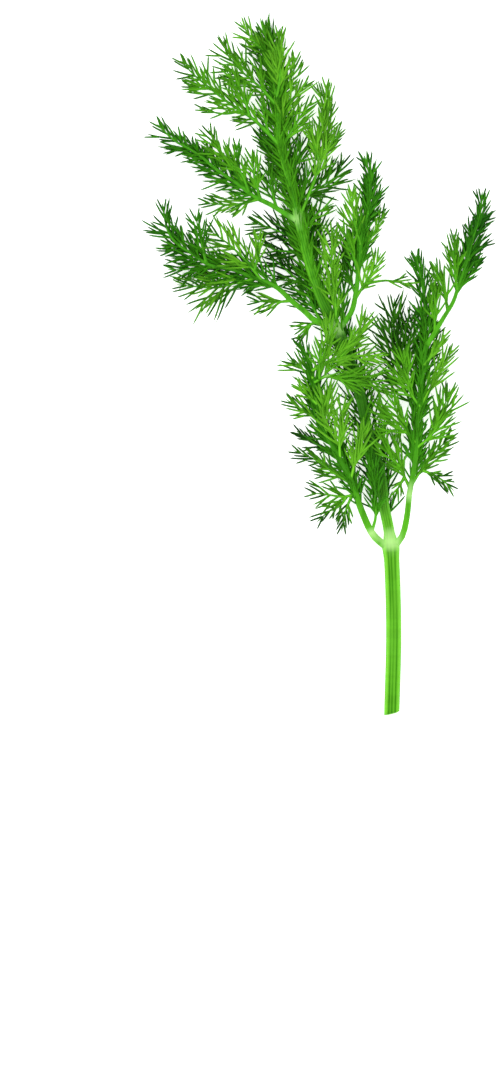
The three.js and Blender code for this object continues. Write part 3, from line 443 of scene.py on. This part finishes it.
class Shoot:
    """A piece of the plant in the making. Rods and needles are laid into it one after another."""

    def __init__(self, shapes):
        self.bm = bmesh.new()
        self.across = math.ceil(math.sqrt(shapes))
        self.laid = 0
        self.bm.loops.layers.uv.new("OFBake")
        for name in MARKS:
            self.bm.verts.layers.float.new(name)

    def lay(self, blank, curve, radius, flat=1.0, groove=None, **marks):
        """Bends a copy of a straight blank along a curve, and marks it for its colours."""
        bm = self.bm
        first, first_face = len(bm.verts), len(bm.faces)
        bm.from_mesh(blank)
        bm.verts.ensure_lookup_table()
        bm.faces.ensure_lookup_table()
        layer = {name: bm.verts.layers.float[name] for name in MARKS}
        rings = {}
        for v in bm.verts[first:]:
            x, y, share = v.co
            key = round(share, 4)
            if key not in rings:
                rings[key] = (curve.at(key), *square_to(curve.heading(key)), radius(key))
            centre, side, top, r = rings[key]
            dip = groove(math.atan2(x, y)) if groove else 0
            r *= 1 - 0.07 * dip
            v.co = centre + side * (x * r) + top * (y * r * flat)
            v[layer["along"]] = share
            v[layer["groove"]] = dip
            for name, value in marks.items():
                v[layer[name]] = value
        corner = Vector((self.laid % self.across, self.laid // self.across))
        chart = bm.loops.layers.uv["OFBake"]
        for face in bm.faces[first_face:]:
            face.smooth = True
            for loop in face.loops:
                spot = loop[chart].uv
                loop[chart].uv = (corner + Vector((0.03, 0.03)) + spot * 0.94) / self.across
        self.laid += 1

    def needle(self, curve, chance):
        """A needle with painted light and shade, brighter the higher it lies and the nearer it is
        to the sprig's thin top.
        """
        thin = min(max((curve.tip.y - 90) / 50, 0), 1)
        # Painted light and shade by height, eased near the thin top, over a random tone of the
        # needle's own.
        shade = 0.85 * (curve.tip.z - 2.8) / 7 + 0.32 * thin + chance.between(-0.1, 0.7)
        self.lay(bpy.data.meshes["needle_blank"], curve, needle_radius, flat=NEEDLE_FLATNESS,
                 groove=needle_dip_and_edge_sheen, shade=shade, leafy=1)

    def done(self, name, shift):
        """The finished piece, moved from the plan to its place and into metres."""
        bm = self.bm
        leafy, pale = bm.verts.layers.float["leafy"], bm.verts.layers.float["pale"]
        for v in bm.verts:
            if v[leafy] < 0.5:
                v[pale] = max(v[pale], knot_paleness(v.co))
        bmesh.ops.translate(bm, vec=shift, verts=bm.verts)
        for v in bm.verts:
            v.co.z = max(v.co.z, 0)
        bmesh.ops.scale(bm, vec=(MM, MM, MM), verts=bm.verts)
        mesh = bpy.data.meshes.new(name)
        bm.to_mesh(mesh)
        bm.free()
        piece = bpy.data.objects.new(name, mesh)
        bpy.context.collection.objects.link(piece)
        return piece


def cut_foot(bm):
    """Cuts the stalk's foot on a slant, with a shallow pith in the cut face."""
    geom = bm.verts[:] + bm.edges[:] + bm.faces[:]
    bmesh.ops.bisect_plane(bm, geom=geom, dist=1e-4, plane_co=CUT_PLACE, plane_no=CUT_FACING,
                           clear_outer=True)
    rim = [e for e in bm.edges if e.is_boundary]
    end = bmesh.ops.holes_fill(bm, edges=rim, sides=0)["faces"]
    for thick, depth in ((0.3, 0.0), (0.5, -0.25)):
        bmesh.ops.inset_region(bm, faces=end, thickness=thick, depth=depth, use_even_offset=True)
    bmesh.ops.recalc_face_normals(bm, faces=bm.faces)
    chart, pale = bm.loops.layers.uv["OFBake"], bm.verts.layers.float["pale"]
    leafy = bm.verts.layers.float["leafy"]
    for face in bm.faces:
        if face.normal.y > -0.8 or face.verts[0][leafy] > 0.5 or face.verts[0].co.y > -49:
            continue
        for loop in face.loops:
            x, _, z = loop.vert.co
            loop[chart].uv = (0.5 + 0.06 * x, 0.03 + 0.008 * (z - STEM_ROUTE[0][2]))
    for face in end:
        for v in face.verts:
            v[pale] = 0.7


def stalk_groove(turn):
    """How deep the stalk's channels are at a turn from its upper face."""
    turn = math.degrees(turn)
    lines = sum(math.exp(-(((turn - at) / 6) ** 2)) for at in STALK_CHANNELS)
    band = 1 / (1 + math.exp((abs(turn) - 40) / 4))
    return min(1, 0.6 * lines + 0.42 * band)


def rib_groove(turn):
    """A rib's single channel along its upper face."""
    return math.exp(-((math.degrees(turn) / 30) ** 2))


def needle_dip_and_edge_sheen(turn):
    """A needle's upper face is a little flattened and painted darker than its edges, which read as
    a painted sheen.
    """
    return 0.5 + 0.5 * math.cos(turn)


def needle_radius(share):
    return NEEDLE_RADIUS * (1.08 - 0.4 * share)


def leaning(heading, side, turn, tilt):
    """A direction that leans from a heading to one side, and up, by angles in degrees."""
    turn, tilt = math.radians(turn), math.radians(tilt)
    out = side * math.cos(tilt) + UP * math.sin(tilt)
    return (heading * math.cos(turn) + out * math.sin(turn)).normalized()


def bent_needle(foot, start, end, length):
    """A needle that sets off one way and ends another, clear of the floor."""
    bend = foot + start * (length * 0.5)
    tip = bend + end * (length * 0.5)
    bend.z, tip.z = max(bend.z, 0.7), max(tip.z, 0.5)
    return Needle(foot, bend, tip)


def spray(stem, side, forks, chance):
    """A side stem of a leaflet, and the long needles that fork off it low down."""
    yield stem
    for k in range(forks):
        foot = 0.05 + 0.45 * (k + chance.between(0, 1)) / forks
        onward = stem.heading(foot)
        hand = side if k % 2 else -side
        hand = (hand - onward * hand.dot(onward)).normalized()
        turn, tilt = chance.between(14, 34), chance.between(-30, 45)
        length = stem.length * (1 - 0.7 * foot) * chance.between(0.6, 1)
        yield bent_needle(stem.at(foot), leaning(onward, hand, turn, tilt),
                          leaning(onward, hand, turn * 0.6, tilt * 0.6), length)


def fork_count(room, reach):
    """How many needles fork off a side stem, with this much axis left beyond it."""
    if room < TIP_ZONE:
        return 0
    if room < 11 or reach < 5:
        return 1
    return 2 if reach < 8 else 3


def needles_of(path, entry, chance):
    """The needles along an axis: side stems in pairs that lean forward, unforked at the tip."""
    bare, reach = entry["bare"], entry["reach"]
    along = bare * path.length
    while along < path.length - 2:
        room = path.length - along
        tip = room < TIP_ZONE
        for way in (-1, 1):
            share = (along + chance.between(0, 1) * (1 if tip else 1.6)) / path.length
            share = min(max(share, 0.02), 0.97)
            heading = path.heading(share)
            side = square_to(heading)[0] * way
            length = 1.25 * reach * (1.1 - 0.25 * share) * chance.between(0.6, 1.2)
            length = max(min(length, room + PAST_TIP), SHORTEST_NEEDLE)
            lean, tilt = entry["spread"] * chance.between(0.7, 1.2), chance.between(-24, 42)
            if tip:
                lean, tilt = 10 + lean * 0.35, tilt * 0.4
            stem = bent_needle(path.at(share), leaning(heading, side, lean * 1.15, tilt),
                               leaning(heading, side, lean * 0.75, tilt * 0.7), length)
            yield from spray(stem, side * way, fork_count(room, reach), chance)
        along += TIP_SPACING if tip else PAIR_SPACING


def skirt(path, low, high, count, reach, chance):
    """Long sprays that leave the flanks of a thick rod low down, under everything else, dark with
    painted shade as they lie low.
    """
    for i in range(count):
        share = low + (high - low) * (i + chance.between(0, 1)) / count
        heading = path.heading(share)
        side = square_to(heading)[0] * (-1 if i % 2 else 1)
        turn, length = chance.between(20, 44), reach * chance.between(0.7, 1.2)
        length = min(length, path.length * (1 - share) + PAST_TIP)
        stem = bent_needle(path.at(share) - UP * 0.8, leaning(heading, side, turn, -14),
                           leaning(heading, side, turn * 0.7, -6), length)
        yield from spray(stem, side, 3, chance)


def overlying(path, radius, low, high, count, chance):
    """Long needles that lie along and across the upper face of a thick rod."""
    for i in range(count):
        share = low + (high - low) * (i + chance.between(0, 1)) / count
        heading = path.heading(share)
        side, top = square_to(heading)
        swing, turn = chance.between(-0.8, 0.8), chance.between(-42, 42)
        length = min(chance.between(5, 9), path.length * (1 - share) + PAST_TIP)
        out = side * swing + top * math.sqrt(1 - swing**2)
        foot = path.at(share) + out * radius(share) * 0.8
        yield bent_needle(foot, leaning(heading, side, turn, 26), leaning(heading, side, turn, 4),
                          length)


def rooted(route, parent, radius):
    """A branch's path, with its foot inside the rod that it grows on."""
    near = parent.at(parent.nearest(Vector(route[0])))
    rest = [Vector(p) for p in route[1:]]
    while len(rest) > 2 and (rest[0] - near).length < 2.2:
        rest.pop(0)
    return Path([near + (rest[0] - near).normalized() * radius * 0.4, *rest])


def make_stem(path, chance):
    """The stalk and the midrib that it runs into, ridged, with needles of its own near the tip."""
    def radius(share):
        return stem_radius(path, share)

    needles = list(needles_of(path, dict(bare=0.62, reach=8, spread=22), chance))
    needles += overlying(path, radius, 0.34, 0.56, 24, chance)
    needles += overlying(path, radius, 0.58, 0.72, 26, chance)
    needles += overlying(path, radius, 0.72, 0.95, 56, chance)
    needles += skirt(path, 0.27, 0.56, 44, 12, chance)
    needles += skirt(path, 0.56, 0.95, 70, 12, chance)
    shoot = Shoot(len(needles) + 1)
    shoot.lay(bpy.data.meshes["stem_blank"], path, radius, groove=stalk_groove, shade=0.5)
    cut_foot(shoot.bm)
    for needle in needles:
        shoot.needle(needle, chance)
    return shoot


def make_frond(entries, paths, chance):
    """One piece of the plan: its axis with its side branches, and the needles along them."""
    first = entries[0]
    thick = (RIB_RADIUS if first["tone"] == "rib" else LEAFLET_RADIUS) * first["girth"]
    main = rooted(first["route"], paths[first["on"]], thick)
    paths[first["name"]] = main
    rods = [(main, thick)]
    needles = list(needles_of(main, first, chance))
    if first["tone"] == "rib":
        needles += skirt(main, first["bare"] + 0.04, 0.8, round(main.length / 3), 8, chance)
    for entry in entries[1:]:
        branch = rooted(entry["route"], main, LEAFLET_RADIUS)
        rods.append((branch, LEAFLET_RADIUS))
        needles += needles_of(branch, entry, chance)
    shoot = Shoot(len(needles) + len(rods))
    for path, thick in rods:
        blank = bpy.data.meshes["rib_blank" if path is main else "axis_blank"]
        shoot.lay(blank, path, taper(thick, path.length), groove=rib_groove,
                  shade=chance.between(0.35, 0.65))
    for needle in needles:
        shoot.needle(needle, chance)
    return shoot


class Flow:
    """A number in a finish that can be added, multiplied and so on like any other."""

    def __init__(self, finish, socket):
        self.finish, self.socket = finish, socket

    def work(self, operation, a, b):
        made = self.finish.node("ShaderNodeMath", {"operation": operation}, {0: a, 1: b})
        return Flow(self.finish, made.outputs[0])

    def __add__(self, other):
        return self.work("ADD", self, other)

    def __radd__(self, other):
        return self.work("ADD", other, self)

    def __sub__(self, other):
        return self.work("SUBTRACT", self, other)

    def __rsub__(self, other):
        return self.work("SUBTRACT", other, self)

    def __mul__(self, other):
        return self.work("MULTIPLY", self, other)

    def __rmul__(self, other):
        return self.work("MULTIPLY", other, self)

    def __pow__(self, other):
        return self.work("POWER", self, other)

    def held(self):
        """Kept between nought and one."""
        return self.work("MINIMUM", self.work("MAXIMUM", self, 0.0), 1.0)


class Finish:
    """A material in the making."""

    def __init__(self, name):
        self.material = bpy.data.materials.new(name)
        self.material.use_nodes = True
        self.tree = self.material.node_tree
        self.shader = self.tree.nodes["Principled BSDF"]

    def node(self, kind, settings=None, inputs=None):
        """A node with its settings, and its sockets set or linked."""
        made = self.tree.nodes.new(kind)
        for name, value in (settings or {}).items():
            setattr(made, name, value)
        for key, value in (inputs or {}).items():
            self.join(value, made.inputs[key])
        return made

    def join(self, value, socket):
        if isinstance(value, Flow):
            self.tree.links.new(value.socket, socket)
        else:
            socket.default_value = value

    def mark(self, name):
        made = self.node("ShaderNodeAttribute", {"attribute_name": name})
        return Flow(self, made.outputs["Fac"])

    def place(self, stretch):
        """Object coordinates, stretched."""
        spot = self.node("ShaderNodeTexCoord")
        made = self.node("ShaderNodeMapping", None,
                         {"Vector": Flow(self, spot.outputs["Object"]), "Scale": stretch})
        return Flow(self, made.outputs["Vector"])

    def up_the_sprig(self):
        """How far up the sprig a point is, in metres from the middle."""
        made = self.node("ShaderNodeSeparateXYZ", None, {"Vector": self.place((1, 1, 1))})
        return Flow(self, made.outputs["Y"])

    def noise(self, scale, detail, stretch=(1, 1, 1)):
        made = self.node("ShaderNodeTexNoise", None, {
            "Vector": self.place(stretch), "Scale": scale, "Detail": detail, "Roughness": 0.55})
        return Flow(self, made.outputs["Fac"])

    def mixed(self, share, a, b):
        made = self.node("ShaderNodeMix", {"data_type": "RGBA"}, {0: share, 6: a, 7: b})
        return Flow(self, made.outputs[2])

    def blade(self, light, dark, tip):
        """A needle's green: painted light and shade, the upper face darker than the painted sheen
        of its edges, darker to its tip, patchy.
        """
        patch, grain = self.noise(55, 2), self.noise(1600, 2)
        # The shade mark carries painted light and shade by height; the noise adds patches of the
        # leaf's own tone.
        shade = self.mark("shade") + (patch - 0.5) * 0.9 + (grain - 0.5) * 0.4
        shade = (shade - 0.08) * 1.1
        leaf = self.mixed(shade.held(), green(dark), green(light))
        # On needles the groove mark paints the upper face darker and leaves the edges as a painted
        # sheen; on rods it follows their channel.
        leaf = self.mixed((self.mark("groove") * 0.45).held(), leaf, green(dark))
        return self.mixed((self.mark("along") ** 2 * 0.6).held(), leaf, green(tip))

    def bump(self, height, strength, distance):
        made = self.node("ShaderNodeBump", None, {
            "Height": height, "Strength": strength, "Distance": distance})
        return Flow(self, made.outputs["Normal"])


def green(code):
    """A colour code, two hexadecimal digits to each part, as the shader's own numbers."""
    parts = [int(code[i:i + 2], 16) / 255 for i in (0, 2, 4)]
    return (*((c / 12.92 if c <= 0.04045 else ((c + 0.055) / 1.055) ** 2.4) for c in parts), 1)


def stalk_finish():
    """Smooth bright skin, darker down its channels, whitish at the knots, with fine long fibres."""
    f = Finish("stalk_skin")
    fibre = f.noise(1100, 3, (1, 0.04, 1))
    patch, fade = f.noise(60, 2), f.noise(420, 1, (1, 0.08, 1))
    along = f.mark("along")
    dip = (f.mark("groove") * (0.45 + fade * 1.1) + (fibre - 0.5) * 0.8).held()
    skin = f.mixed(dip, green("74cc30"), green("338000"))
    # Painted shade on the midrib past the first fork, where it runs under the fronds.
    shaded = ((along - 0.27) * 16).held() * (1 - ((along - 0.56) * 16).held())
    skin = f.mixed(shaded * 0.9, skin, f.mixed(dip, green("2d7608"), green("144802")))
    skin = f.mixed(((along - 0.5) * 20).held() * 0.75, skin,
                   f.mixed(dip, green("58ac1c"), green("2c760a")))
    skin = f.mixed((patch - 0.4) * 0.5, skin, green("4a9a12"))
    skin = f.mixed((f.mark("pale") * 0.85 + (patch - 0.5) * 0.1).held(), skin, green("b4e88a"))
    f.join(f.mixed(f.mark("leafy"), skin, f.blade("62c01c", "1c5a04", "185004")),
           f.shader.inputs["Base Color"])
    f.join(0.5 + fibre * 0.16, f.shader.inputs["Roughness"])
    f.join(f.bump(fibre - f.mark("groove") * 0.5, 0.35, 0.0002), f.shader.inputs["Normal"])
    f.shader.inputs["Specular IOR Level"].default_value = SATIN
    return f.material


def leaf_finish(name, rod, light, dark, tip):
    """Ribs and needles: each needle has a random tone with painted light and shade by its height,
    and darkens towards its tip.
    """
    f = Finish(name)
    fibre = f.noise(1500, 2, (1, 0.12, 1))
    bark = f.mixed((f.mark("groove") * 0.9 + (fibre - 0.5) * 0.6).held(), green(rod), green(light))
    bark = f.mixed((f.mark("along") * 3 - 0.3).held() * 0.75, bark, f.blade(light, dark, tip))
    bark = f.mixed((f.up_the_sprig() * 30 + 0.2).held() * 0.6, bark, green("459a18"))
    streak = f.noise(520, 2, (1, 0.05, 1))
    bark = f.mixed(((streak - 0.5) * 5).held() * 0.5, bark, green(dark))
    bark = f.mixed((f.mark("pale") * 0.95).held(), bark, green("b4e88a"))
    f.join(f.mixed(f.mark("leafy"), bark, f.blade(light, dark, tip)),
           f.shader.inputs["Base Color"])
    f.join((0.56 + (fibre - 0.5) * 0.3 + f.mark("along") * 0.08).held(),
           f.shader.inputs["Roughness"])
    f.join(f.bump(fibre, 0.3, 0.0001), f.shader.inputs["Normal"])
    f.shader.inputs["Specular IOR Level"].default_value = SATIN
    return f.material


def floor_finish():
    f = Finish("pale_floor")
    fleck = f.noise(8, 2)
    f.join(f.mixed(fleck, green("fafafa"), green("ffffff")), f.shader.inputs["Base Color"])
    f.shader.inputs["Roughness"].default_value = 0.9
    f.shader.inputs["Specular IOR Level"].default_value = 0.1
    f.shader.inputs["Emission Color"].default_value = (1, 1, 1, 1)
    f.shader.inputs["Emission Strength"].default_value = 0.62
    return f.material


def dress(piece, node, slot, material):
    """Gives a piece its finish, hangs it from the root body, and hides the frame's part for its
    node.
    """
    piece.data.materials.append(material)
    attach(piece, "root")
    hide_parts(node)


def make_floor(width):
    """A plain pale floor, square and centred."""
    bm = bmesh.new()
    bmesh.ops.create_grid(bm, x_segments=1, y_segments=1, size=width / 2)
    mesh = bpy.data.meshes.new("floor")
    bm.to_mesh(mesh)
    bm.free()
    floor = bpy.data.objects.new("floor", mesh)
    bpy.context.collection.objects.link(floor)
    floor.data.materials.append(floor_finish())


def make_light(name, place, width, power):
    """A round soft lamp that faces the middle of the floor."""
    lamp = bpy.data.lights.new(name, "AREA")
    lamp.shape, lamp.size, lamp.energy = "DISK", width, power
    light = bpy.data.objects.new(name, lamp)
    light.location = place
    light.rotation_euler = (-Vector(place)).to_track_quat("-Z", "Y").to_euler()
    bpy.context.collection.objects.link(light)


def make_studio():
    """Soft white light from all round, with a little more from above on one side."""
    world = bpy.data.worlds.new("studio")
    world.use_nodes = True
    ground = world.node_tree.nodes["Background"]
    ground.inputs["Color"].default_value = (1, 1, 1, 1)
    ground.inputs["Strength"].default_value = 1.0
    bpy.context.scene.world = world
    make_light("key_light", (-0.5, 0.4, 0.9), 0.5, 4)
    make_light("fill_light", (0.6, -0.3, 0.9), 0.8, 1.5)
    bpy.context.scene.view_settings.view_transform = "Standard"
    bpy.context.scene.view_settings.look = "None"


def make_camera(shift):
    """A long lens straight above, square to the floor."""
    lens = bpy.data.cameras.new("camera")
    lens.sensor_width = 36
    lens.lens = lens.sensor_width * CAMERA_HEIGHT / VIEW_LENGTH
    lens.clip_end = 20
    camera = bpy.data.objects.new("camera", lens)
    across, along = VIEW_CENTRE
    camera.location = ((across + shift.x) * MM, (along + shift.y) * MM, CAMERA_HEIGHT + 0.005)
    bpy.context.collection.objects.link(camera)
    bpy.context.scene.camera = camera


def pieces_of(plan):
    """The plan's entries in groups: each piece, with the side branches that follow it."""
    pieces = []
    for entry in plan:
        if entry["on"] is None:
            pieces[-1].append(entry)
        else:
            pieces.append([entry])
    return pieces


def way_to_frame(stem):
    """How far the plan moves, so that the stem's middle meets the middle of its node's box."""
    leafy = stem.bm.verts.layers.float["leafy"]
    rod = [v.co for v in stem.bm.verts if v[leafy] < 0.5]
    low, high = (Vector(pick(co[i] for co in rod) for i in range(3)) for pick in (min, max))
    box_low, box_high = (Vector(corner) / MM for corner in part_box("stem"))
    return (box_low + box_high - low - high) / 2


# Straight blanks that every rod and needle is bent from, with their sides and spans.
blank_rod("stem_blank", 48, 110)
blank_rod("rib_blank", 12, 36)
blank_rod("axis_blank", 8, 14)
blank_rod("needle_blank", 6, 5)

chance = Chance(SEED)
stem_path = Path(STEM_ROUTE)
stem = make_stem(stem_path, chance)
shift = way_to_frame(stem)

paths = {"stem": stem_path}
# The bright, middle and deep finishes are lit and shaded copies of one leaf green: painted light,
# painted half shade and painted shade.
skins = {
    "rib": ("frond_rib", leaf_finish("rib_skin", "5fb522", "4ca816", "1c5c05", "184c04")),
    "bright": ("leaf_bright", leaf_finish("painted_lit_leaf", "4a9e1a", "88e032", "226404", "1e5a04")),
    "middle": ("leaf_middle", leaf_finish("painted_half_shade_leaf", "429018", "74d426", "184f02", "144502")),
    "deep": ("leaf_deep", leaf_finish("painted_shade_leaf", "469a16", "52aa18", "103e02", "0e3802")),
}
dress(stem.done("sprig_stem", shift), "stem", "stem", stalk_finish())
for entries in pieces_of(PLAN):
    node = entries[0]["name"]
    slot, skin = skins[entries[0]["tone"]]
    dress(make_frond(entries, paths, chance).done("sprig_" + node, shift), node, slot, skin)

make_floor(6)
make_studio()
make_camera(shift)
